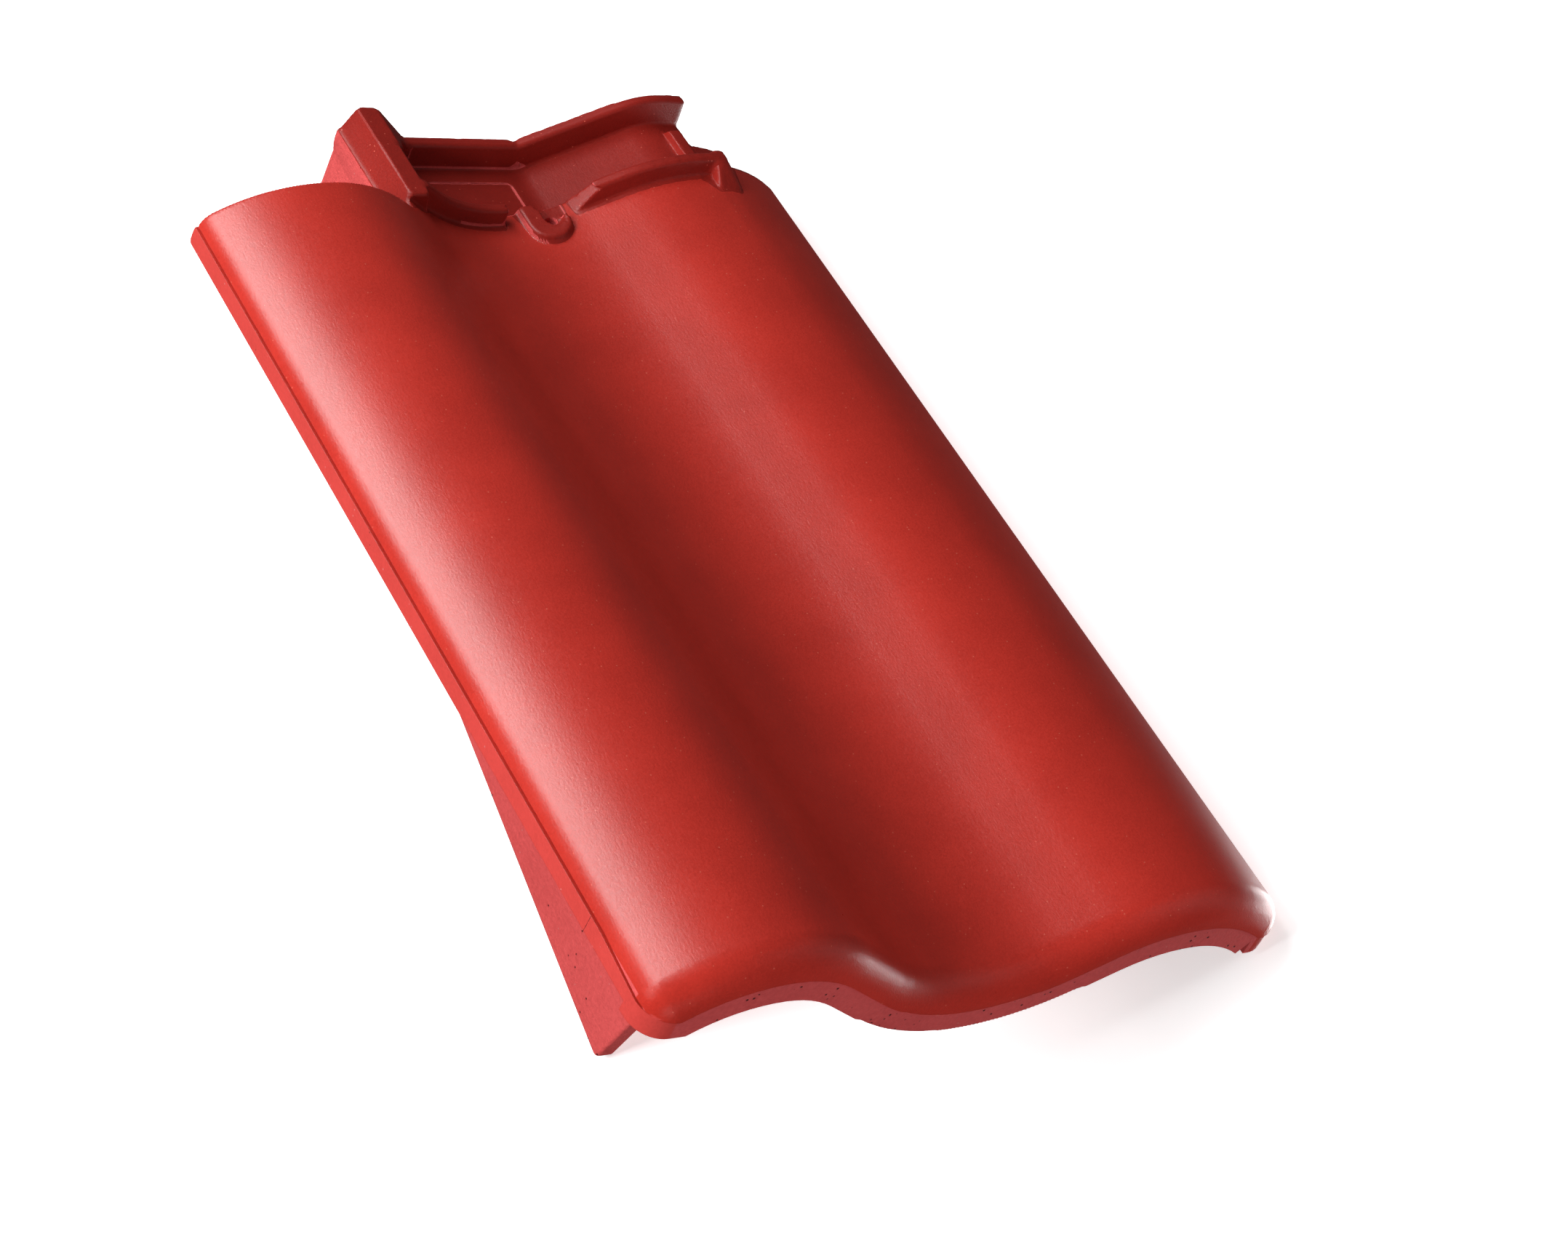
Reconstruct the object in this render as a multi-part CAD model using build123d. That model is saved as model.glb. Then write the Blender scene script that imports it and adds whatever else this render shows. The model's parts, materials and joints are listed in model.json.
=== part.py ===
from build123d import *
import os
from math import asin, atan2, cos, degrees, pi, radians, sin, sqrt

# Left-hand verge tile of fired clay. Tile axes while it is built, in millimetres:
# X runs from the rolled left edge to the right edge, Y from the foot to the head,
# Z stands square to the tile, and zero height is the valley's upper face.

# Overall sizes
WIDTH = 292.0
LENGTH = 471.0
ROLL_SHORT = 55.0
SIDE_OVER = 7.0
WALL = 13.0

# Wave of the upper face
CREST_AT_SHARE = 0.192
VALLEY_AT_SHARE = 0.4966
SECOND_AT_SHARE = 0.846
CREST_RISE_SHARE = 0.1096
CREST_OUTER_SHARE = 0.3014
SECOND_RISE_SHARE = 0.1027
SECOND_OUTER_SHARE = 0.2397
FLANK_TURN = 32.0
SECOND_TURN = 28.0
CREST_SHARE = 0.5
CROWN_SHARE = 0.95

# Foot rib and rims under the parting line
FOOT_DROP = 23.5
FOOT_DEEP = 16.0
PARTING_STEP = 0.6
RIM_WIDE = 10.0
RIM_OVER = 3.0
RIM_DEEP = 4.5
RIM_DIP = 4.2
RIM_BEND = 40.0
PARTING_GROOVE = 0.5
PARTING_DEEP = 1.1
RIGHT_RIM_WIDE = 14.0
RIGHT_RIM_DEEP = 10.2
RIM_SOFT = 1.5
LOCK_RIB_IN = 30.0
LOCK_RIB_WIDE = 6.0
LOCK_RIB_DROP = 6.0

# Head lock: the channel between its ribs, set back from the head and off the valley
HEAD_REACH = 52.0
SHOULDER_STEP = 41.0
SHOULDER_BACK = 35.0
SHOULDER_SOFT = 5.0
LEDGE_WIDE = 13.0
LEDGE_BACK = 20.0
LEDGE_DROP = 4.0
CHANNEL_DEEP = 1.0
CHANNEL_FLAT = 33.0
CHANNEL_BEND = 15.0
CHANNEL_CREST_IN = 19.0
CHANNEL_CREST_DROP = 3.5
CHANNEL_END_DROP = 4.5
CHANNEL_CREST_BEND = 34.0
STOP_RIB_WIDE = 6.0
STOP_RIB_IN = 5.5
STOP_RIB_BACK = 14.0
BACK_RIB_WIDE = 6.5
BACK_RIB_RISE = 12.0
FRONT_RIB_BACK = 46.0
FRONT_RIB_WIDE = 8.0
FRONT_RIB_RISE = 8.0
FRONT_RIB_END = 8.0
FRONT_RIB_START = 39.0
FRONT_RIB_RAMP = 8.0
RIB_LEAN = 1.5
RIB_FLARE = 4.0
RIB_SOFT = 2.2
RIB_SINK = 2.0
LEG_BACK = 59.0
LEG_RAMP = 15.0
LEG_IN = 2.0
SIDE_RIB_TOP = 21.0
SIDE_RIB_WIDE = 13.5
SIDE_RIB_SLOPE = 4.0
SIDE_RIB_SHOULDER = 11.0
SIDE_STRIP = 1.6
SIDE_STRIP_BOTTOM = 4.0
WEB_RADIUS = 11.0
PLATE_WIDE = 42.0
PLATE_LONG = 20.0
PLATE_LEFT = 16.0
PLATE_BACK = 35.0
PLATE_DEEP = 0.7

# Nail boss
NAIL_RUN = 28.5
NAIL_BACK = 47.0
NAIL_RADIUS = 2.75
FUNNEL_RADIUS = 4.2
FUNNEL_DEEP = 0.4
POCKET_REACH = 7.0
BOSS_RUN = 26.0
BOSS_BACK = 50.0
BOSS_RADIUS = 9.5
BOSS_RISE = 3.2
BOSS_LEG = 13.0
BOSS_LEG_WIDE = 7.5
BOSS_SOFT = 1.8

# Hanging flap
FLAP_THICK = 8.0
FLAP_FOOT = 60.0
FLAP_TIP = 99.0
FLAP_DROP = 146.0
FLAP_HEAD_DROP = 69.0
FLAP_HEAD_LEAN = 4.0
FLAP_ROOT = 8.0
FLAP_SOFT = 1.5
FLAP_CORNER = 3.0

# Batten lug
LUG_WIDE = 60.0
LUG_DEEP = 14.0
LUG_DROP = 32.0
LUG_BACK = 39.0
LUG_TAPER = 4.0
LUG_SOFT = 3.0


def at(centre, reach, turn):
    """Point at a reach from a centre, the turn measured from upright."""
    return (centre[0] + reach * sin(turn), 0, centre[1] + reach * cos(turn))


def bow(centre, reach, start, end):
    """Arc about a centre between two turns measured from upright."""
    return ThreePointArc(
        at(centre, reach, start), at(centre, reach, (start + end) / 2), at(centre, reach, end)
    )


def radius_sum(run, drop, turn):
    """Sum of crest and valley radius that a straight flank of this turn joins."""
    return (run * sin(turn) - drop * cos(turn)) / (1 - cos(turn))


crest_x = WIDTH * CREST_AT_SHARE
valley_x = WIDTH * VALLEY_AT_SHARE
second_x = WIDTH * SECOND_AT_SHARE
crest_rise = WIDTH * CREST_RISE_SHARE
second_rise = WIDTH * SECOND_RISE_SHARE
crest_outer_r = WIDTH * CREST_OUTER_SHARE
second_outer_r = WIDTH * SECOND_OUTER_SHARE
flank = radians(FLANK_TURN)
second_flank = radians(SECOND_TURN)
left_sum = radius_sum(valley_x - crest_x, crest_rise, flank)
right_sum = radius_sum(second_x - valley_x, second_rise, second_flank)
crest_r = left_sum * CREST_SHARE
valley_left_r = left_sum - crest_r
second_r = right_sum * CREST_SHARE
valley_right_r = right_sum - second_r
crest_outer = (crest_x, crest_rise - crest_outer_r)
crest_inner = (crest_x, crest_rise - crest_r)
valley_left = (valley_x, valley_left_r)
valley_right = (valley_x, valley_right_r)
second_inner = (second_x, second_rise - second_r)
second_outer = (second_x, second_rise - second_outer_r)
left_join = asin((WALL - crest_x) / (crest_outer_r - WALL))
right_join = asin((WIDTH - WALL - second_x) / (second_outer_r - WALL))
left_edge = at(crest_outer, crest_outer_r - WALL, left_join)[::2]
right_edge = at(second_outer, second_outer_r - WALL, right_join)[::2]
crown = WALL * CROWN_SHARE
tall = WIDTH
roll_length = LENGTH - ROLL_SHORT
side_length = LENGTH + SIDE_OVER
head_left = valley_x - HEAD_REACH
head_right = WIDTH - SHOULDER_STEP
shoulder_y = LENGTH - SHOULDER_BACK
front_y = LENGTH - FRONT_RIB_BACK


def wave(depth):
    """The wave line, set below the upper face by a depth."""
    crest = crest_r - depth
    hollow_left = -(valley_left_r + depth)
    hollow_right = -(valley_right_r + depth)
    second = second_r - depth
    return [
        bow(crest_outer, crest_outer_r - depth, left_join, 0),
        bow(crest_inner, crest, 0, flank),
        Line(at(crest_inner, crest, flank), at(valley_left, hollow_left, flank)),
        bow(valley_left, hollow_left, flank, 0),
        bow(valley_right, hollow_right, 0, -second_flank),
        Line(
            at(valley_right, hollow_right, -second_flank),
            at(second_inner, second, -second_flank),
        ),
        bow(second_inner, second, -second_flank, 0),
        bow(second_outer, second_outer_r - depth, 0, right_join),
    ]


def slab(top, bottom, start, end):
    """Wavy sheet between two depths, from one station along the tile to another."""
    upper = wave(top)
    lower = wave(bottom)
    sides = [Line(upper[0] @ 0, lower[0] @ 0), Line(upper[-1] @ 1, lower[-1] @ 1)]
    face = Face(Wire(upper + lower + sides))
    return Pos(0, start, 0) * extrude(face, amount=end - start, dir=(0, 1, 0))


def block(x0, x1, y0, y1, z0=-tall, z1=tall):
    """Box between two corners, as tall as the tile is wide unless told."""
    return Pos((x0 + x1) / 2, (y0 + y1) / 2, (z0 + z1) / 2) * Box(x1 - x0, y1 - y0, z1 - z0)


def prism(points, amount, way):
    """Flat outline pushed along a way."""
    return extrude(Face(Wire.make_polygon(points)), amount=amount, dir=way)


def line_rib(path, start, end, rise):
    """Soft-edged rib that follows a line across the tile, between two stations."""
    station = Plane(origin=path @ 0, x_dir=(0, 1, 0), z_dir=path % 0)
    line = FilletPolyline(
        (start - RIB_FLARE, -RIB_SINK),
        (start, RIB_LEAN / 2),
        (start + RIB_LEAN, rise),
        (end - RIB_LEAN, rise),
        (end, RIB_LEAN / 2),
        (end + RIB_FLARE, -RIB_SINK),
        radius=RIB_SOFT,
    )
    section = make_face(line.edges() + [Line(line @ 1, line @ 0)])
    return sweep(station * section, path=path)


# Shell: the wave with both long edges rolled down, and a crown along the foot
upper = wave(0)
roll_down = [
    bow(left_edge, WALL, -pi / 2, left_join),
    bow(right_edge, WALL, right_join, pi / 2),
]
soles = [
    Line(at(left_edge, WALL, -pi / 2), at(left_edge, 0, 0)),
    Line(at(right_edge, WALL, pi / 2), at(right_edge, 0, 0)),
]
shell = extrude(
    Face(Wire(upper + roll_down + wave(WALL) + soles)), amount=LENGTH, dir=(0, 1, 0)
)
foot_face = shell.faces().sort_by(Axis.Y)[0]
near = WALL / 1000
crown_edges = [
    edge
    for edge in foot_face.edges()
    if any((edge.center() - line.center()).length < near for line in upper + roll_down)
]
shell = fillet(crown_edges, radius=crown)
shoulder = shell & block(head_right, WIDTH + tall, -tall, shoulder_y)
shoulder_face = shoulder.faces().sort_by(Axis.Y)[-1]
shoulder_edges = [
    edge
    for edge in shoulder_face.edges().filter_by(GeomType.CIRCLE)
    if abs(edge.radius - second_outer_r) < near or abs(edge.radius - WALL) < near
]
shoulder = fillet(shoulder_edges, radius=SHOULDER_SOFT)
shell -= block(-tall, head_left, roll_length, LENGTH + tall)
shell -= block(head_right, WIDTH + tall, -tall, LENGTH + tall)
shell += shoulder
ledge = slab(LEDGE_DROP, WALL, 0, LENGTH)
ledge &= block(
    head_right, head_right + LEDGE_WIDE, shoulder_y - SHOULDER_SOFT, LENGTH - LEDGE_BACK
)

# Foot rib under the parting line
foot_rib = slab(WALL - 2 * PARTING_STEP, FOOT_DROP, PARTING_STEP, FOOT_DEEP)

# Left rim with its dip to the rounded foot corner
rim_top = left_edge[1] + RIM_OVER
rim_bottom = left_edge[1] - RIM_DEEP
rim_low = rim_bottom - RIM_DIP
rim_band = prism(
    [
        (-PARTING_STEP, PARTING_STEP, rim_low),
        (-PARTING_STEP, PARTING_STEP, left_edge[1]),
        (-PARTING_STEP, RIM_BEND, rim_top),
        (-PARTING_STEP, roll_length, rim_top),
        (-PARTING_STEP, roll_length, rim_bottom),
        (-PARTING_STEP, FOOT_DEEP, rim_bottom),
    ],
    RIM_WIDE,
    (1, 0, 0),
)
rib_start = (wave(FOOT_DROP)[0] @ 0).X
corner = block(-PARTING_STEP, rib_start, PARTING_STEP, FOOT_DEEP, rim_low, left_edge[1])
round_x = crown - PARTING_STEP
round_y = crown + PARTING_STEP
rounding = block(-tall, round_x, -tall, round_y)
rounding -= Pos(round_x, round_y, 0) * Cylinder(crown, tall * 3)
left_rim = rim_band + corner - rounding
groove = prism(
    [
        (-PARTING_STEP, PARTING_STEP, left_edge[1]),
        (-PARTING_STEP, RIM_BEND, rim_top),
        (-PARTING_STEP, roll_length, rim_top),
        (-PARTING_STEP, roll_length, rim_top + PARTING_GROOVE),
        (-PARTING_STEP, RIM_BEND, rim_top + PARTING_GROOVE),
        (-PARTING_STEP, PARTING_STEP, left_edge[1] + PARTING_GROOVE),
    ],
    PARTING_STEP + PARTING_DEEP,
    (1, 0, 0),
)
shell -= groove

# Right rim and inner rib of the cover lock
right_low = right_edge[1] - RIGHT_RIM_DEEP
right_rim = block(
    WIDTH - PARTING_STEP - RIGHT_RIM_WIDE,
    WIDTH - PARTING_STEP,
    PARTING_STEP,
    shoulder_y,
    right_low,
    right_edge[1] + 2 * PARTING_STEP,
)
right_round = block(WIDTH - crown, WIDTH + tall, -tall, crown)
right_round -= Pos(WIDTH - crown, crown, 0) * Cylinder(crown - PARTING_STEP, tall * 3)
right_rim -= right_round
right_rim = fillet(right_rim.faces().sort_by(Axis.Z)[0].edges(), radius=RIM_SOFT)
lock_rib_x = WIDTH - LOCK_RIB_IN
lock_rib = slab(WALL - 2 * PARTING_STEP, WALL + LOCK_RIB_DROP, FOOT_DEEP, shoulder_y)
lock_rib &= block(lock_rib_x - LOCK_RIB_WIDE / 2, lock_rib_x + LOCK_RIB_WIDE / 2, 0, LENGTH)

tile = shell + ledge + foot_rib + left_rim + right_rim + lock_rib

# Channel of the head lock: flat over the valley, then straight up the flank
side_left = head_left + SIDE_RIB_SLOPE
side_right = head_left + SIDE_RIB_WIDE
crest_low = second_rise - CHANNEL_CREST_DROP
end_low = second_rise - CHANNEL_END_DROP
channel_line = FilletPolyline(
    (head_left, 0, -CHANNEL_DEEP),
    (valley_x + CHANNEL_FLAT, 0, -CHANNEL_DEEP),
    (head_right - CHANNEL_CREST_IN, 0, crest_low),
    (head_right, 0, end_low),
    radius=[CHANNEL_BEND, CHANNEL_CREST_BEND],
)
channel_top = [
    Line(channel_line @ 1, (head_right, 0, tall)),
    Line((head_right, 0, tall), (head_left, 0, tall)),
    Line((head_left, 0, tall), channel_line @ 0),
]
channel = extrude(
    make_face(channel_line.edges() + channel_top), amount=LENGTH, dir=(0, 1, 0)
)
channel_foot = front_y + FRONT_RIB_WIDE
tile -= channel & block(side_left, head_right, channel_foot, LENGTH + WALL)
stop_x = head_right - STOP_RIB_IN
stop_rib = slab(0, WALL / 2, channel_foot, LENGTH - STOP_RIB_BACK)
tile += stop_rib & block(stop_x - STOP_RIB_WIDE, stop_x, 0, LENGTH)

# Ribs of the head lock: back rib, front rib in two lengths with its leg, side rib and web
back_rib = line_rib(
    Wire(channel_line.edges()), LENGTH - BACK_RIB_WIDE, LENGTH + BACK_RIB_WIDE, BACK_RIB_RISE
)
back_rib &= block(head_left, head_right, 0, LENGTH)
front = line_rib(Wire(wave(0)), front_y, front_y + FRONT_RIB_WIDE, FRONT_RIB_RISE)
left_front = front & block(head_left, valley_x + FRONT_RIB_END, 0, channel_foot)
ramp_x = valley_x + FRONT_RIB_START
ramp_foot = valley_right_r - sqrt(valley_right_r**2 - FRONT_RIB_START**2)
ramp_head = ramp_foot + FRONT_RIB_RISE + FRONT_RIB_RAMP * sin(second_flank)
leg_x = head_right - LEG_IN
right_front = front & block(ramp_x, leg_x, 0, channel_foot)
right_front -= prism(
    [
        (ramp_x, 0, ramp_foot),
        (ramp_x, 0, ramp_head),
        (ramp_x + FRONT_RIB_RAMP, 0, ramp_head),
    ],
    LENGTH,
    (0, 1, 0),
)
leg_foot = LENGTH - LEG_BACK
leg_top = second_rise + FRONT_RIB_RISE
leg = FilletPolyline(
    (leg_x - FRONT_RIB_WIDE / 2 - RIB_FLARE, channel_foot, second_rise - RIB_SINK),
    (leg_x - FRONT_RIB_WIDE / 2, channel_foot, second_rise),
    (leg_x - FRONT_RIB_WIDE / 2 + RIB_LEAN, channel_foot, leg_top),
    (leg_x + FRONT_RIB_WIDE / 2 - RIB_LEAN, channel_foot, leg_top),
    (leg_x + FRONT_RIB_WIDE / 2 + RIB_FLARE, channel_foot, second_rise),
    (leg_x + FRONT_RIB_WIDE / 2 + RIB_FLARE, channel_foot, second_rise - FRONT_RIB_RISE),
    radius=RIB_SOFT,
)
leg = extrude(
    make_face(leg.edges() + [Line(leg @ 1, leg @ 0)]), amount=channel_foot - leg_foot, dir=(0, -1, 0)
)
leg -= prism(
    [
        (0, leg_foot, second_rise - RIB_SINK),
        (0, leg_foot, leg_top),
        (0, leg_foot + LEG_RAMP, leg_top),
    ],
    WIDTH,
    (1, 0, 0),
)
level = block(-tall, valley_x, 0, side_length, SIDE_RIB_TOP, tall)
side_start = front_y - RIB_FLARE
side_rib = prism(
    [
        (head_left, side_start, -CHANNEL_DEEP),
        (head_left - SIDE_STRIP, side_start, SIDE_STRIP_BOTTOM),
        (head_left - SIDE_STRIP, side_start, SIDE_RIB_SHOULDER - SIDE_STRIP),
        (head_left, side_start, SIDE_RIB_SHOULDER),
        (side_left, side_start, SIDE_RIB_TOP),
        (side_right, side_start, SIDE_RIB_TOP),
        (side_right + RIB_FLARE, side_start, -CHANNEL_DEEP),
    ],
    side_length - side_start,
    (0, 1, 0),
)
side_crests = side_rib.edges().filter_by(Axis.Y).group_by(Axis.Z)[-1]
side_end = side_rib.faces().sort_by(Axis.Y)[0].edges().filter_by(Axis.X).group_by(Axis.Z)[-1]
side_rib = fillet(side_crests + side_end, radius=RIM_SOFT)
side_cut = prism(
    [
        (0, roll_length, SIDE_RIB_SHOULDER),
        (head_left, roll_length, SIDE_RIB_SHOULDER),
        (side_left, roll_length, SIDE_RIB_TOP),
        (side_left, roll_length, tall),
        (0, roll_length, tall),
    ],
    side_length,
    (0, 1, 0),
)
web_start = side_right + RIB_FLARE
web_end = web_start + WEB_RADIUS
web_inside = LENGTH - BACK_RIB_WIDE
web = prism(
    [
        (side_left, 0, -CHANNEL_DEEP),
        (side_left, 0, SIDE_RIB_TOP),
        (side_right, 0, SIDE_RIB_TOP),
        (web_end, 0, BACK_RIB_RISE - CHANNEL_DEEP - RIB_LEAN),
        (web_end, 0, -CHANNEL_DEEP),
    ],
    side_length,
    (0, 1, 0),
)
web_plan = [
    Line((web_start, web_inside - WEB_RADIUS), (side_left, web_inside - WEB_RADIUS)),
    Line((side_left, web_inside - WEB_RADIUS), (side_left, side_length)),
    Line((side_left, side_length), (side_right, side_length)),
    Line((side_right, side_length), (web_end, LENGTH)),
    Line((web_end, LENGTH), (web_end, web_inside)),
    RadiusArc((web_end, web_inside), (web_start, web_inside - WEB_RADIUS), -WEB_RADIUS),
]
web &= Pos(0, 0, -tall / 2) * extrude(make_face(web_plan), amount=tall)
tile -= side_cut
tile += back_rib - side_cut
tile += left_front - level - side_cut
tile += right_front + leg
tile += side_rib
tile += web - side_cut
plate_x = valley_x - PLATE_LEFT
plate_y = LENGTH - PLATE_BACK
tile -= block(
    plate_x,
    plate_x + PLATE_WIDE,
    plate_y,
    plate_y + PLATE_LONG,
    -CHANNEL_DEEP - PLATE_DEEP,
    second_rise,
)

# Nail boss, open towards the head, with the hole in a sunk pocket
nail_x = valley_x + NAIL_RUN
nail_y = LENGTH - NAIL_BACK
boss_x = valley_x + BOSS_RUN
boss_y = LENGTH - BOSS_BACK
boss_plan = Pos(boss_x, boss_y, 0) * Circle(BOSS_RADIUS)
leg_middle = (boss_x - BOSS_RADIUS + BOSS_LEG_WIDE / 2, boss_y + BOSS_LEG / 2)
boss_plan += Pos(*leg_middle) * Rectangle(BOSS_LEG_WIDE, BOSS_LEG)
boss = Pos(0, 0, -tall / 2) * extrude(boss_plan, amount=tall)
boss &= slab(-BOSS_RISE, WALL / 2, 0, LENGTH)
boss = fillet(boss.faces().sort_by(Axis.Z)[-1].edges(), radius=BOSS_SOFT)
pocket = Pos(nail_x, nail_y, 0) * Cylinder(FUNNEL_RADIUS, tall)
pocket += block(nail_x - FUNNEL_RADIUS, nail_x + POCKET_REACH, nail_y, boss_y + BOSS_LEG)
pocket &= slab(-BOSS_RISE * 2, FUNNEL_DEEP, 0, LENGTH)
tile += boss
tile -= pocket
tile -= Pos(nail_x, nail_y, 0) * Cylinder(NAIL_RADIUS, tall)

# Hanging flap
flap = prism(
    [
        (head_left, FLAP_FOOT, FLAP_ROOT),
        (head_left, side_length, FLAP_ROOT),
        (head_left, side_length - FLAP_HEAD_LEAN, -FLAP_HEAD_DROP),
        (head_left, FLAP_TIP, -FLAP_DROP),
    ],
    FLAP_THICK,
    (1, 0, 0),
)
flap = fillet(flap.edges().filter_by(Axis.X).sort_by(Axis.Z)[:2], radius=FLAP_CORNER)
rims = flap.faces().filter_by(Axis.X).edges()
tile += fillet([edge for edge in rims if edge.center().Z < -FLAP_SOFT], radius=FLAP_SOFT)

# Batten lug with an upright face towards the foot
lug_y = LENGTH - LUG_BACK
lug = prism(
    [
        (valley_x - LUG_WIDE / 2, lug_y, -WALL / 2),
        (valley_x - LUG_WIDE / 2, lug_y + LUG_DEEP, -WALL / 2),
        (valley_x - LUG_WIDE / 2, lug_y + LUG_DEEP - LUG_TAPER, -LUG_DROP),
        (valley_x - LUG_WIDE / 2, lug_y, -LUG_DROP),
    ],
    LUG_WIDE,
    (1, 0, 0),
)
lug &= prism(
    [
        (valley_x - LUG_WIDE / 2, 0, -WALL / 2),
        (valley_x - LUG_WIDE / 2 + LUG_TAPER, 0, -LUG_DROP),
        (valley_x + LUG_WIDE / 2 - LUG_TAPER, 0, -LUG_DROP),
        (valley_x + LUG_WIDE / 2, 0, -WALL / 2),
    ],
    LENGTH,
    (0, 1, 0),
)
tile += fillet(lug.faces().sort_by(Axis.Z)[0].edges(), radius=LUG_SOFT)

# Pose: lying on the flap's tip and the right rim, origin under the middle of the part
rest_run = WIDTH - PARTING_STEP - head_left - FLAP_THICK
rest_turn = degrees(atan2(FLAP_DROP + right_low, rest_run))
tile = Rot(0, rest_turn, 0) * tile
box = tile.bounding_box()
tile = Pos(-box.center().X, -box.center().Y, -box.min.Z) * tile

os.makedirs("parts", exist_ok=True)
export_step(tile, "parts/verge_tile.step")
print("rest turn", rest_turn, "shift", box.center().X, box.center().Y, box.min.Z)
print("solids", len(tile.solids()), "volume", tile.volume, "valid", tile.is_valid)
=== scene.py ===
"""Looks of a left-hand verge tile: satin red slip over fired clay, bare where the mould parted."""

import json
import math

import bmesh
import bpy
import numpy as np
from mathutils import Matrix, Vector


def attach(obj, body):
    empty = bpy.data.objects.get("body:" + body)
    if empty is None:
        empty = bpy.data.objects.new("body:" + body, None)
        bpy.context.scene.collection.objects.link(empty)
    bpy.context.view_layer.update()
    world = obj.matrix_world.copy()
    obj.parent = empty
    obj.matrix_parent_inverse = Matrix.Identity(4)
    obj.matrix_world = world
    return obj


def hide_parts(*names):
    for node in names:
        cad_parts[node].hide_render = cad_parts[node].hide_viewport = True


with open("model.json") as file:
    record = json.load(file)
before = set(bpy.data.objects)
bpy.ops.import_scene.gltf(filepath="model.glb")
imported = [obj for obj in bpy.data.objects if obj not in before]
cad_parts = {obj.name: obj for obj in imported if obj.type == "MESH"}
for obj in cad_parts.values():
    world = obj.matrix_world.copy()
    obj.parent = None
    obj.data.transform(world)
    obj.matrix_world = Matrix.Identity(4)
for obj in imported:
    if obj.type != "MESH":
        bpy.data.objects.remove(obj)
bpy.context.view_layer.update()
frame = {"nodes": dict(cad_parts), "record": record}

MM = 0.001

# Tile axes: across from the left rim, along from the foot, rise square to the tile.
# The nail hole is square to the tile, so its axis gives the slant at which the tile lies.
nail = next(m for m in frame["record"]["mounts"] if m["name"] == "nail_hole")
RISE = Vector(nail["axis"]).normalized()
ALONG = Vector((0.0, 1.0, 0.0))
ACROSS = ALONG.cross(RISE).normalized()
TILE_AXES = Matrix((ACROSS, ALONG, RISE))

# Camera of the photograph: its place in metres, its lens and sensor in millimetres.
CAMERA_PLACE = Vector((-0.16378, -0.88177, 1.32778))
CAMERA_RIGHT = Vector((0.87374, -0.45395, -0.17468))
CAMERA_UP = Vector((0.47140, 0.70182, 0.53407))
LENS = 89.0908
SENSOR = 36.0

# Numbers of the finishes, in the order of FINISHES.
# The head lock's slip is rougher and less glossy, and its darker colour is painted shade.
SATIN_SLIP, BARE_CLAY, RIM_CLAY, FOOT_CLAY, HEAD_SLIP_PAINTED_SHADE = range(5)

# Where the slip stops: the parting line round the tile, the flap and the underside stay bare.
# The crown is the radius that rounds the foot and its corners. A facing is the part of a face's
# unit normal that lies along one tile axis.
PARTING_STEP = 0.6 * MM
CROWN = 12.35 * MM
PLANE_SLACK = 0.03 * MM
CORNER_SLACK = 0.15 * MM
SLIP_DEPTH = 35.0 * MM
AWAY_FACING = -0.03
SIDE_FACING = 0.97
UPRIGHT_FACING = 0.1
SLOPE_FACING = 0.6
FLAT_FACING = 0.9995

# The skin's mesh is fine along the arrises that the mould and the fire softened, which are those
# of the head lock, from a place along the tile, and of the flap and lug, below a depth.
JOIN_REACH = 0.002 * MM
SHORTEST = 1e-30
HEAD_FROM = 404.0 * MM
FLAP_DEPTH = 46.0 * MM
CREASE_TURN = math.radians(24.0)
SHADE_TURN = math.radians(34.0)
MESH_FINE = 2.0 * MM
MESH_GROWTH = 1.6
SPLIT_ROUNDS = 10
DISTANCE_SWEEPS = 10
NOT_CUT = -1
SOFT_REACH = 4.0 * MM
SOFT_TURNS = 5
SOFT_SHADE = 4.0
NAIL_CLEAR = 3.3 * MM

# Colours of the clay and its slip.
SLIP_DEEP = (0.430, 0.0232, 0.0148, 1.0)
SLIP_RED = (0.565, 0.0335, 0.0212, 1.0)
SLIP_FLECK = (0.640, 0.1150, 0.0800, 1.0)
# The head lock's slip is darker than the rest: painted shade, where the head lies in shade.
HEAD_PAINTED_SHADE_DEEP = (0.235, 0.0135, 0.0095, 1.0)
HEAD_PAINTED_SHADE_RED = (0.335, 0.0195, 0.0130, 1.0)
CLAY_DEEP = (0.555, 0.0700, 0.0680, 1.0)
CLAY_RED = (0.690, 0.0950, 0.0930, 1.0)
CLAY_FLECK = (0.580, 0.1600, 0.1500, 1.0)
RIM_DEEP = (0.510, 0.0480, 0.0400, 1.0)
RIM_RED = (0.610, 0.0600, 0.0510, 1.0)
FOOT_DEEP = (0.500, 0.0620, 0.0620, 1.0)
FOOT_RED = (0.620, 0.0860, 0.0850, 1.0)
PIT_DARK = (0.060, 0.0090, 0.0085, 1.0)

# Noise of the clay: clouds with their scale to the metre, a grained skin, and streaks that are
# drawn out along the tile. The shares say how much of the second noise is mixed into the first.
CLOUD_NOISE = {"Scale": 26.0, "Detail": 4.0, "Roughness": 0.6}
SKIN_NOISE = {"Detail": 4.0, "Roughness": 0.68}
STREAK_NOISE = {"Detail": 2.0, "Roughness": 0.5}
STREAK_STRETCH = (1.0, 0.3, 1.0)
STREAK_IN_RELIEF = 0.4
SKIN_IN_TONE = 0.6
NOISE_LOW = 0.3
NOISE_HIGH = 0.7

# A spot's rim and its full middle, from the middle of its cell in cell sizes.
SPOT_RIM = 0.30
SPOT_FULL = 0.12

# The hairline joint across the rim, by its place along Y and half its width.
HAIRLINE_AT = -191.0 * MM
HAIRLINE_HALF = 0.10 * MM

ARRIS_SAMPLES = 6

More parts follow.
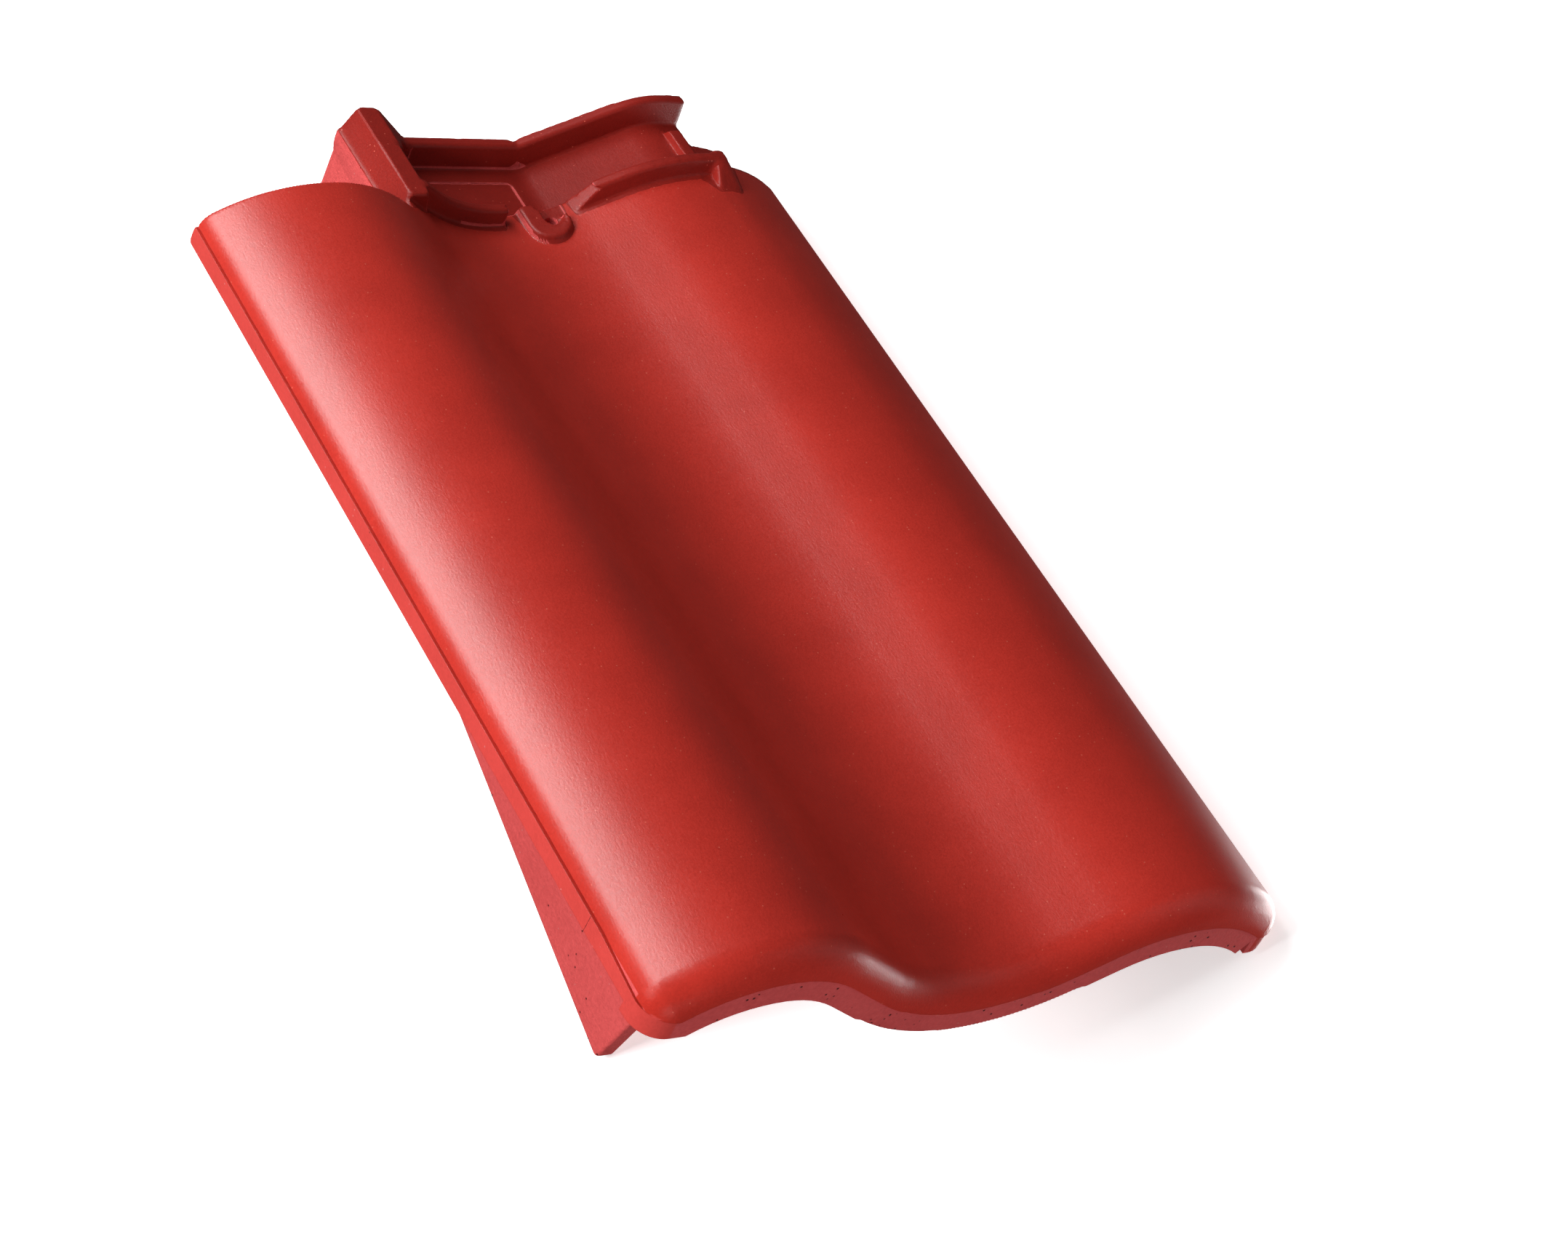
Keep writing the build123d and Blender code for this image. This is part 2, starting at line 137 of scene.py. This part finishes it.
# A Mix node's sockets by number, because its values and its colours share their names.
MIX_SHARE = 0
VALUE_A, VALUE_B, VALUE_OUT = 2, 3, 0
COLOUR_A, COLOUR_B, COLOUR_OUT = 6, 7, 2

# Floor, room and the point that the lamps look at, in metres.
FLOOR_HALF = 6.0
FLOOR_PALE = (0.900, 0.900, 0.900, 1.0)
FLOOR_ROUGH = 0.9
FLOOR_GLOSS = 0.1
FLOOR_GLOW = 0.6
ROOM_WHITE = (1.0, 1.0, 1.0, 1.0)
ROOM_LIGHT = 0.030
ROOM_SEEN = 0.75
LAMP_AIM = Vector((0.0, 0.0, 0.09))


def tile_places(points):
    """Points of an n x 3 array in tile axes, each the point's dot product with its axis."""
    return points @ np.array(TILE_AXES).T


def merged_arrays(node):
    """Points and triangle corners of a node's mesh, its loose triangles joined along their edges."""
    joined = bmesh.new()
    joined.from_mesh(node.data)
    bmesh.ops.remove_doubles(joined, verts=joined.verts, dist=JOIN_REACH)
    mesh = bpy.data.meshes.new("joined")
    joined.to_mesh(mesh)
    joined.free()
    points = np.empty(len(mesh.vertices) * 3)
    corners = np.empty(len(mesh.loops), np.int32)
    mesh.vertices.foreach_get("co", points)
    mesh.loops.foreach_get("vertex_index", corners)
    bpy.data.meshes.remove(mesh)
    return points.reshape(-1, 3), corners.reshape(-1, 3).astype(np.int64)


def unit(rows):
    """Rows of three parts, each over its own length."""
    return rows / np.maximum(np.linalg.norm(rows, axis=-1, keepdims=True), SHORTEST)


def gather(numbers, rows, count):
    """Sum of three-part rows by number, one bin count for each part."""
    return np.stack([np.bincount(numbers, rows[:, part], count) for part in range(3)], axis=1)


def face_turns(points, triangles):
    """Each triangle's normal as long as twice its area: the cross product of two of its sides."""
    a, b, c = points[triangles].transpose(1, 0, 2)
    return np.cross(b - a, c - a)


def smooth_normals(points, triangles):
    """Normal at each corner of each triangle: the sum of the area normals of the faces round that
    point which turn from the triangle by less than the shading angle. Corners are sorted by their
    point, so that each corner is paired with all corners at the same point."""
    turns = face_turns(points, triangles)
    normals = unit(turns)
    corner_point = triangles.ravel()
    order = np.argsort(corner_point, kind="stable")
    around = np.bincount(corner_point)
    start = np.cumsum(around) - around
    repeats = around[corner_point]
    corner = np.repeat(np.arange(len(corner_point)), repeats)
    place = np.arange(len(corner)) - np.repeat(np.cumsum(repeats) - repeats, repeats)
    other = order[start[corner_point[corner]] + place] // 3
    own = corner // 3
    alike = (normals[own] * normals[other]).sum(axis=1) > math.cos(SHADE_TURN)
    total = gather(corner[alike], turns[other[alike]], len(corner_point))
    return unit(total).reshape(-1, 3, 3)


def finish_of_faces(points, triangles):
    """Number of each face's finish: rim on the proud strip and its round corner; foot on the plane
    set back below the parting line; bare clay where a face looks down, or stands steep below the
    depth of the slip; dull slip over the head lock, its darker colour painted shade; satin slip
    elsewhere."""
    places = tile_places(points)
    low, high = places.min(axis=0), places.max(axis=0)
    centres = places[triangles].mean(axis=1) - low
    facing = tile_places(unit(face_turns(points, triangles)))
    depth = (high - low)[2] - centres[:, 2]
    upright = np.abs(facing[:, 2]) < UPRIGHT_FACING
    foot = (np.abs(centres[:, 1] - PARTING_STEP) < PLANE_SLACK) & (facing[:, 1] < -FLAT_FACING)
    corner = np.hypot(centres[:, 0] - CROWN, centres[:, 1] - CROWN - PARTING_STEP)
    round_corner = (centres[:, :2] < CROWN).all(axis=1) & (np.abs(corner - CROWN) < CORNER_SLACK)
    rim = (centres[:, 0] < PARTING_STEP / 2) | (round_corner & upright)
    crown = (centres[:, 1] < CROWN) & (facing[:, 1] < AWAY_FACING)
    deep = (depth > SLIP_DEPTH) & (np.abs(facing[:, 2]) < SLOPE_FACING)
    side = (depth > SLIP_DEPTH - CROWN) & (np.abs(facing[:, 0]) > SIDE_FACING)
    bare = (facing[:, 2] < AWAY_FACING) | ((deep | side) & ~crown)
    # Faces over the head lock get the dull slip, whose darker colour is painted shade.
    head = centres[:, 1] > HEAD_FROM
    return np.select(
        [rim, foot, bare, head], [RIM_CLAY, FOOT_CLAY, BARE_CLAY, HEAD_SLIP_PAINTED_SHADE], SATIN_SLIP
    )


def edge_table(triangles, count):
    """Each edge once, by its two corners, in the order of its key, then the edge at each side of
    every triangle, and the keys. A key is the edge's lesser corner times the count plus its
    greater."""
    sides = triangles[:, [[0, 1], [1, 2], [2, 0]]]
    keys, side_edge = np.unique(sides.min(axis=2) * count + sides.max(axis=2), return_inverse=True)
    return np.stack((keys // count, keys % count), axis=1), side_edge.reshape(-1, 3), keys


def soft_creases(points, triangles):
    """Edges in the head lock, on the flap and on the lug whose two faces turn by more than the
    crease angle: the sum of their unit normals is shorter than twice the cosine of half of it."""
    edges, side_edge, _ = edge_table(triangles, len(points))
    normals = np.repeat(unit(face_turns(points, triangles)), 3, axis=0)
    total = np.linalg.norm(gather(side_edge.ravel(), normals, len(edges)), axis=1)
    places = tile_places(points)
    along = places[:, 1] - places[:, 1].min()
    depth = places[:, 2].max() - places[:, 2]
    soft = (along > HEAD_FROM) | (depth > FLAP_DEPTH)
    return edges[(total < 2.0 * math.cos(CREASE_TURN / 2)) & soft[edges].all(axis=1)]


def crease_distance(points, edges, creases):
    """Way of each point along the edges to the nearest crease, found by sweeps in which a point
    takes the least of its neighbours' ways plus the edge between, and the edges' lengths."""
    way = np.full(len(points), np.inf)
    way[creases] = 0.0
    lengths = np.linalg.norm(points[edges[:, 0]] - points[edges[:, 1]], axis=1)
    for _ in range(DISTANCE_SWEEPS):
        np.minimum.at(way, edges[:, 0], way[edges[:, 1]] + lengths)
        np.minimum.at(way, edges[:, 1], way[edges[:, 0]] + lengths)
    return way, lengths


def split_triangles(triangles, normals, finish, middles):
    """Triangles cut at the numbered middles of their sides: one middle gives two triangles, two
    give three, three give four. Each triangle is first turned so that its cut sides come first,
    and a pattern then names its corners as 0 to 2 and the middles of its sides as 3 to 5."""
    patterns = {
        0: [[0, 1, 2]],
        1: [[0, 3, 2], [3, 1, 2]],
        2: [[3, 1, 4], [0, 3, 4], [0, 4, 2]],
        3: [[0, 3, 5], [3, 1, 4], [5, 4, 2], [3, 4, 5]],
    }
    middle_normals = unit(normals + np.roll(normals, -1, axis=1))
    cut = middles != NOT_CUT
    number = cut.sum(axis=1)
    first = np.where(number == 1, cut.argmax(axis=1), (np.argmin(cut, axis=1) + 1) % 3)
    turn = (np.where(number == 3, 0, first)[:, None] + np.arange(3)) % 3
    six = np.concatenate(
        [np.take_along_axis(triangles, turn, 1), np.take_along_axis(middles, turn, 1)], axis=1
    )
    turn = turn[:, :, None]
    six_normals = np.concatenate(
        [np.take_along_axis(normals, turn, 1), np.take_along_axis(middle_normals, turn, 1)], axis=1
    )
    corners, shades, finishes = [], [], []
    for cuts, pattern in patterns.items():
        rows = number == cuts
        corners.append(six[rows][:, pattern].reshape(-1, 3))
        shades.append(six_normals[rows][:, pattern].reshape(-1, 3, 3))
        finishes.append(np.repeat(finish[rows], len(pattern)))
    return np.concatenate(corners), np.concatenate(shades), np.concatenate(finishes)


def refine(points, triangles, normals, finish, creases):
    """Splits long edges round by round, until each is no longer than the fine size near a crease,
    with the size growing in step with the way from it. A crease that is split stays a crease."""
    for _ in range(SPLIT_ROUNDS):
        edges, side_edge, keys = edge_table(triangles, len(points))
        way, lengths = crease_distance(points, edges, creases)
        room = np.maximum(way[edges].min(axis=1) - SOFT_REACH, 0.0)
        long = lengths > MESH_FINE + MESH_GROWTH * room
        if not long.any():
            break
        numbers = np.full(len(edges), NOT_CUT)
        numbers[long] = len(points) + np.arange(long.sum())
        middle = numbers[np.searchsorted(keys, creases[:, 0] * len(points) + creases[:, 1])]
        cut = middle != NOT_CUT
        halves = [np.stack((creases[cut, end], middle[cut]), axis=1) for end in (0, 1)]
        creases = np.concatenate([creases[~cut], *halves])
        points = np.concatenate([points, points[edges[long]].mean(axis=1)])
        triangles, normals, finish = split_triangles(triangles, normals, finish, numbers[side_edge])
    return points, triangles, normals, finish, creases


def soften(points, triangles, creases):
    """Rounds the creases: in each turn a point moves half way to the mean of its neighbours, in
    full at a crease and fading to nothing at the soft reach. The nail hole keeps its size.
    Also gives how near each point is to a crease, from 0 to 1."""
    edges, _, _ = edge_table(triangles, len(points))
    way, _ = crease_distance(points, edges, creases)
    near = np.clip(1.0 - way / SOFT_REACH, 0.0, 1.0)
    near = near * near * (3.0 - 2.0 * near)
    from_nail = np.linalg.norm(np.cross(points - np.array(nail["pos_m"]), np.array(RISE)), axis=1)
    near[from_nail < NAIL_CLEAR] = 0.0
    both = np.concatenate([edges, edges[:, ::-1]])
    neighbours = np.bincount(both[:, 0])[:, None]
    for _ in range(SOFT_TURNS):
        mean = gather(both[:, 0], points[both[:, 1]], len(points)) / neighbours
        points = points + near[:, None] / 2 * (mean - points)
    return points, near


def tile_mesh():
    """The tile's skin and the finish of its faces: the solid's own faces with softened arrises.
    The solid's smooth normals are kept, and near an arris those of the softened faces take over,
    in a share that grows with the nearness."""
    points, triangles = merged_arrays(frame["nodes"]["verge_tile"])
    normals = smooth_normals(points, triangles)
    finish = finish_of_faces(points, triangles)
    creases = soft_creases(points, triangles)
    points, triangles, normals, finish, creases = refine(
        points, triangles, normals, finish, creases
    )
    points, near = soften(points, triangles, creases)
    share = np.clip(near[triangles] * SOFT_SHADE, 0.0, 1.0)[..., None]
    normals = unit(normals + share * (smooth_normals(points, triangles) - normals))
    mesh = bpy.data.meshes.new("tile_skin")
    mesh.from_pydata(points.tolist(), [], triangles.tolist())
    mesh.polygons.foreach_set("use_smooth", np.ones(len(triangles), bool))
    mesh.normals_split_custom_set(normals.reshape(-1, 3).tolist())
    return mesh, finish


def add(tree, kind, **values):
    """A node with its properties or unlinked input values set by name."""
    node = tree.nodes.new(kind)
    for name, value in values.items():
        if hasattr(node, name):
            setattr(node, name, value)
        else:
            node.inputs[name.replace("_", " ")].default_value = value
    return node


def start_group(name, inputs, outputs):
    """A node group with its named sockets, and its inlet and outlet nodes."""
    group = bpy.data.node_groups.new(name, "ShaderNodeTree")
    for socket, kind in inputs.items():
        group.interface.new_socket(name=socket, in_out="INPUT", socket_type=kind)
    for socket, kind in outputs.items():
        group.interface.new_socket(name=socket, in_out="OUTPUT", socket_type=kind)
    return group, group.nodes.new("NodeGroupInput"), group.nodes.new("NodeGroupOutput")


def ramp(tree, value, low, high):
    """A node that takes a value socket from low to high onto 0 to 1, eased at both ends."""
    node = add(
        tree, "ShaderNodeMapRange", interpolation_type="SMOOTHSTEP", From_Min=low, From_Max=high
    )
    tree.links.new(value, node.inputs["Value"])
    return node


def per_metre(tree, size):
    """How many of a size go into a metre: one over the size socket."""
    node = add(tree, "ShaderNodeMath", operation="DIVIDE")
    node.inputs[0].default_value = 1.0
    tree.links.new(size, node.inputs[1])
    return node.outputs[0]


def mixed(tree, first, second, share):
    """A value socket with a share of a second one mixed into it."""
    node = add(tree, "ShaderNodeMix", data_type="FLOAT")
    node.inputs[MIX_SHARE].default_value = share
    tree.links.new(first, node.inputs[VALUE_A])
    tree.links.new(second, node.inputs[VALUE_B])
    return node.outputs[VALUE_OUT]


def noise(tree, place, look, scale=None):
    """A noise over a place socket, with its own scale or one that a socket gives."""
    node = add(tree, "ShaderNodeTexNoise", **look)
    tree.links.new(place, node.inputs["Vector"])
    if scale is not None:
        tree.links.new(scale, node.inputs["Scale"])
    return node.outputs["Fac"]


def build_grain_group():
    """Fired clay's surface: a cloudy tone, and a skin of fine grain crossed by short streaks that
    the mould drew along the tile."""
    group, inlet, outlet = start_group(
        "clay_grain",
        {"Place": "NodeSocketVector", "Grain Size": "NodeSocketFloat"},
        {"Tone": "NodeSocketFloat", "Relief": "NodeSocketFloat"},
    )
    place = inlet.outputs["Place"]
    scale = per_metre(group, inlet.outputs["Grain Size"])
    stretch = add(group, "ShaderNodeMapping", Scale=STREAK_STRETCH)
    group.links.new(place, stretch.inputs["Vector"])
    cloud = noise(group, place, CLOUD_NOISE)
    skin = noise(group, place, SKIN_NOISE, scale)
    streak = noise(group, stretch.outputs[0], STREAK_NOISE, scale)
    group.links.new(mixed(group, skin, streak, STREAK_IN_RELIEF), outlet.inputs["Relief"])
    group.links.new(mixed(group, cloud, skin, SKIN_IN_TONE), outlet.inputs["Tone"])
    return group


def build_scatter_group():
    """Sparse round spots: one in a share of the cells of a size, each fading out at its rim."""
    group, inlet, outlet = start_group(
        "clay_scatter",
        {"Place": "NodeSocketVector", "Cell Size": "NodeSocketFloat", "Share": "NodeSocketFloat"},
        {"Spot": "NodeSocketFloat"},
    )
    links = group.links
    cells = group.nodes.new("ShaderNodeTexVoronoi")
    links.new(inlet.outputs["Place"], cells.inputs["Vector"])
    links.new(per_metre(group, inlet.outputs["Cell Size"]), cells.inputs["Scale"])
    chance = group.nodes.new("ShaderNodeSeparateColor")
    links.new(cells.outputs["Color"], chance.inputs[0])
    chosen = add(group, "ShaderNodeMath", operation="LESS_THAN")
    links.new(chance.outputs[0], chosen.inputs[0])
    links.new(inlet.outputs["Share"], chosen.inputs[1])
    spot = ramp(group, cells.outputs["Distance"], SPOT_RIM, SPOT_FULL)
    picked = add(group, "ShaderNodeMath", operation="MULTIPLY")
    links.new(chosen.outputs[0], picked.inputs[0])
    links.new(spot.outputs[0], picked.inputs[1])
    links.new(picked.outputs[0], outlet.inputs["Spot"])
    return group


def start_material(name):
    """A material with its principled shader linked to its output."""
    material = bpy.data.materials.new(name)
    material.use_nodes = True
    tree = material.node_tree
    tree.nodes.clear()
    shader = tree.nodes.new("ShaderNodeBsdfPrincipled")
    output = tree.nodes.new("ShaderNodeOutputMaterial")
    tree.links.new(shader.outputs[0], output.inputs["Surface"])
    return material, tree, shader


def placed(tree, group, place, **values):
    """A group's node in a material, reading a place socket, with its own values."""
    node = tree.nodes.new("ShaderNodeGroup")
    node.node_tree = group
    for name, value in values.items():
        node.inputs[name.replace("_", " ")].default_value = value
    tree.links.new(place, node.inputs["Place"])
    return node


def laid_over(tree, below, colour, mask):
    """A colour socket with a plain colour laid over it where a mask is 1."""
    node = add(tree, "ShaderNodeMix", data_type="RGBA")
    node.inputs[COLOUR_B].default_value = colour
    tree.links.new(mask, node.inputs[MIX_SHARE])
    tree.links.new(below, node.inputs[COLOUR_A])
    return node.outputs[COLOUR_OUT]


def sunk(tree, height, mask, deep):
    """A height socket lowered by a depth where a mask is 1."""
    node = add(tree, "ShaderNodeMath", operation="MULTIPLY_ADD")
    node.inputs[1].default_value = -deep
    tree.links.new(mask, node.inputs[0])
    tree.links.new(height, node.inputs[2])
    return node.outputs[0]


def hairline(tree, place):
    """The mask of the joint across the rim: 1 where Y is within half its width of its place."""
    parts = tree.nodes.new("ShaderNodeSeparateXYZ")
    tree.links.new(place, parts.inputs[0])
    line = add(tree, "ShaderNodeMath", operation="COMPARE")
    line.inputs[1].default_value = HAIRLINE_AT
    line.inputs[2].default_value = HAIRLINE_HALF
    tree.links.new(parts.outputs["Y"], line.inputs[0])
    return line.outputs[0]


def clay_material(name, groups, look):
    """Clay with a cloudy colour between two reds, pale flecks, a grained skin and soft arrises,
    and with dark pits and a hairline where the look asks for them."""
    material, tree, shader = start_material(name)
    links = tree.links
    place = tree.nodes.new("ShaderNodeTexCoord").outputs["Object"]
    grain = placed(tree, groups["grain"], place, Grain_Size=look["grain_size"])
    relief = grain.outputs["Relief"]

    tone = ramp(tree, grain.outputs["Tone"], NOISE_LOW, NOISE_HIGH)
    base = add(tree, "ShaderNodeMix", data_type="RGBA")
    base.inputs[COLOUR_A].default_value = look["deep"]
    base.inputs[COLOUR_B].default_value = look["red"]
    links.new(tone.outputs[0], base.inputs[MIX_SHARE])
    fleck = placed(
        tree, groups["scatter"], place, Cell_Size=look["fleck_cell"], Share=look["fleck_share"]
    )
    colour = laid_over(tree, base.outputs[COLOUR_OUT], look["fleck"], fleck.outputs["Spot"])

    marks = []
    if look["pits"]:
        pit = placed(
            tree, groups["scatter"], place, Cell_Size=look["pit_cell"], Share=look["pit_share"]
        )
        marks.append(pit.outputs["Spot"])
    if look["hairline"]:
        marks.append(hairline(tree, place))
    height = relief
    for mark in marks:
        colour = laid_over(tree, colour, PIT_DARK, mark)
        height = sunk(tree, height, mark, look["pit_deep"])
    links.new(colour, shader.inputs["Base Color"])

    rough = add(
        tree,
        "ShaderNodeMapRange",
        From_Min=NOISE_LOW,
        From_Max=NOISE_HIGH,
        To_Min=look["rough_low"],
        To_Max=look["rough_high"],
    )
    links.new(relief, rough.inputs["Value"])
    links.new(rough.outputs[0], shader.inputs["Roughness"])

    arris = add(tree, "ShaderNodeBevel", samples=ARRIS_SAMPLES, Radius=look["arris"])
    bump = add(tree, "ShaderNodeBump", Strength=look["relief"], Distance=look["relief_deep"])
    links.new(height, bump.inputs["Height"])
    links.new(arris.outputs[0], bump.inputs["Normal"])
    links.new(bump.outputs[0], shader.inputs["Normal"])
    shader.inputs["Specular IOR Level"].default_value = look["gloss"]
    return material


SLIP_LOOK = {
    "deep": SLIP_DEEP,
    "red": SLIP_RED,
    "fleck": SLIP_FLECK,
    "fleck_cell": 1.3 * MM,
    "fleck_share": 0.03,
    "pits": False,
    "hairline": False,
    "grain_size": 0.85 * MM,
    "relief": 0.65,
    "relief_deep": 0.18 * MM,
    "rough_low": 0.27,
    "rough_high": 0.40,
    "arris": 0.35 * MM,
    "gloss": 1.0,
}
# Slip of the head lock: rougher and less glossy, with darker colours that are painted shade.
HEAD_PAINTED_SHADE_LOOK = {
    **SLIP_LOOK,
    "deep": HEAD_PAINTED_SHADE_DEEP,
    "red": HEAD_PAINTED_SHADE_RED,
    "rough_low": 0.34,
    "rough_high": 0.46,
    "gloss": 0.5,
}
CLAY_LOOK = {
    **SLIP_LOOK,
    "deep": CLAY_DEEP,
    "red": CLAY_RED,
    "fleck": CLAY_FLECK,
    "fleck_cell": 1.6 * MM,
    "pits": True,
    "pit_cell": 2.2 * MM,
    "pit_share": 0.02,
    "pit_deep": 0.6,
    "grain_size": 1.7 * MM,
    "relief": 1.0,
    "relief_deep": 0.80 * MM,
    "rough_low": 0.60,
    "rough_high": 0.85,
    "gloss": 0.35,
}
RIM_LOOK = {
    **CLAY_LOOK,
    "deep": RIM_DEEP,
    "red": RIM_RED,
    "pit_share": 0.01,
    "hairline": True,
    "grain_size": 1.2 * MM,
    "relief": 0.45,
    "relief_deep": 0.20 * MM,
    "rough_low": 0.50,
    "rough_high": 0.70,
}
FOOT_LOOK = {
    **CLAY_LOOK,
    "deep": FOOT_DEEP,
    "red": FOOT_RED,
    "pit_cell": 2.4 * MM,
    "pit_share": 0.16,
    "pit_deep": 0.8,
    "relief": 0.9,
    "relief_deep": 0.35 * MM,
}
FINISHES = {
    "satin_red_slip": SLIP_LOOK,
    "bare_red_clay": CLAY_LOOK,
    "rim_clay": RIM_LOOK,
    "foot_clay": FOOT_LOOK,
    # The head lock's dull slip, darkened as painted shade.
    "dull_head_slip_painted_shade": HEAD_PAINTED_SHADE_LOOK,
}


def build_tile():
    """The tile's visible skin, in slip or bare clay by face."""
    mesh, finish = tile_mesh()
    piece = bpy.data.objects.new("tile_skin", mesh)
    bpy.context.scene.collection.objects.link(piece)
    groups = {"grain": build_grain_group(), "scatter": build_scatter_group()}
    for name, look in FINISHES.items():
        mesh.materials.append(clay_material(name, groups, look))
    mesh.polygons.foreach_set("material_index", finish.astype(np.int32))
    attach(piece, "root")
    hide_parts("verge_tile")


def build_floor():
    """A wide plain floor under the tile. It takes the tile's shadow, and neither lights the tile
    nor shades it."""
    ends = (-FLOOR_HALF, FLOOR_HALF)
    mesh = bpy.data.meshes.new("floor")
    mesh.from_pydata([(x, y, 0.0) for x in ends for y in ends], [], [(0, 2, 3, 1)])
    floor = bpy.data.objects.new("floor", mesh)
    bpy.context.scene.collection.objects.link(floor)
    material, _, shader = start_material("pale_floor")
    shader.inputs["Base Color"].default_value = FLOOR_PALE
    shader.inputs["Roughness"].default_value = FLOOR_ROUGH
    shader.inputs["Specular IOR Level"].default_value = FLOOR_GLOSS
    shader.inputs["Emission Color"].default_value = FLOOR_PALE
    shader.inputs["Emission Strength"].default_value = FLOOR_GLOW
    mesh.materials.append(material)
    floor.visible_diffuse = False
    floor.visible_glossy = False
    floor.visible_shadow = False


def area_light(name, way, away, wide, tall, watts, gloss=True):
    """A soft rectangular lamp looking at the tile from a way in tile axes, at a distance in metres.
    A lamp without gloss fills the shade and leaves no reflection on the slip."""
    lamp = bpy.data.lights.new(name, "AREA")
    lamp.shape = "RECTANGLE"
    lamp.size = wide
    lamp.size_y = tall
    lamp.energy = watts
    holder = bpy.data.objects.new(name, lamp)
    bpy.context.scene.collection.objects.link(holder)
    holder.visible_glossy = gloss
    out = (TILE_AXES.transposed() @ Vector(way)).normalized()
    side = ALONG.cross(out).normalized()
    turn = Matrix((side, out.cross(side), out)).transposed().to_4x4()
    holder.matrix_world = Matrix.Translation(LAMP_AIM + out * away) @ turn


def build_lamps():
    """A soft key from the tile's left, three strips over its head for the gloss, a low lamp on the
    right for the floor's bounce, and weak fills at the foot and the head."""
    area_light("left_key", (-0.97, 0.0, 0.25), away=1.7, wide=0.6, tall=0.8, watts=27.0, gloss=False)
    area_light("gloss_edge", (-0.70, 0.44, 0.50), away=1.35, wide=0.30, tall=1.30, watts=5.8)
    area_light("gloss_strip", (-0.50, 0.48, 0.66), away=1.35, wide=0.24, tall=1.10, watts=5.4)
    area_light("gloss_fade", (-0.38, 0.56, 0.74), away=1.35, wide=0.24, tall=0.70, watts=1.9)
    area_light("floor_bounce", (0.97, -0.12, -0.20), away=1.0, wide=0.5, tall=0.6, watts=6.5)
    area_light("foot_fill", (0.55, -0.55, 0.55), away=0.6, wide=0.35, tall=0.35, watts=0.45, gloss=False)
    area_light("foot_front", (-0.30, -0.94, -0.05), away=1.2, wide=0.5, tall=0.5, watts=5.2, gloss=False)
    area_light("head_low", (0.05, 0.98, -0.05), away=1.2, wide=0.6, tall=0.5, watts=0.4, gloss=False)


def build_room():
    """A white room that lights the tile dimly and shows bright behind it."""
    world = bpy.data.worlds.new("white_room")
    world.use_nodes = True
    tree = world.node_tree
    seen = tree.nodes.new("ShaderNodeLightPath")
    strength = ramp(tree, seen.outputs["Is Camera Ray"], 0.0, 1.0)
    strength.inputs["To Min"].default_value = ROOM_LIGHT
    strength.inputs["To Max"].default_value = ROOM_SEEN
    room = tree.nodes["Background"]
    room.inputs["Color"].default_value = ROOM_WHITE
    tree.links.new(strength.outputs[0], room.inputs["Strength"])
    bpy.context.scene.world = world
    bpy.context.scene.view_settings.view_transform = "Standard"


def build_camera():
    """The photograph's camera, with its own roll."""
    lens = bpy.data.cameras.new("photo_camera")
    lens.lens = LENS
    lens.sensor_width = SENSOR
    lens.sensor_fit = "HORIZONTAL"
    camera = bpy.data.objects.new("photo_camera", lens)
    bpy.context.scene.collection.objects.link(camera)
    back = CAMERA_RIGHT.cross(CAMERA_UP)
    turn = Matrix((CAMERA_RIGHT, CAMERA_UP, back)).transposed().to_4x4()
    camera.matrix_world = Matrix.Translation(CAMERA_PLACE) @ turn
    bpy.context.scene.camera = camera


build_tile()
build_floor()
build_lamps()
build_room()
build_camera()
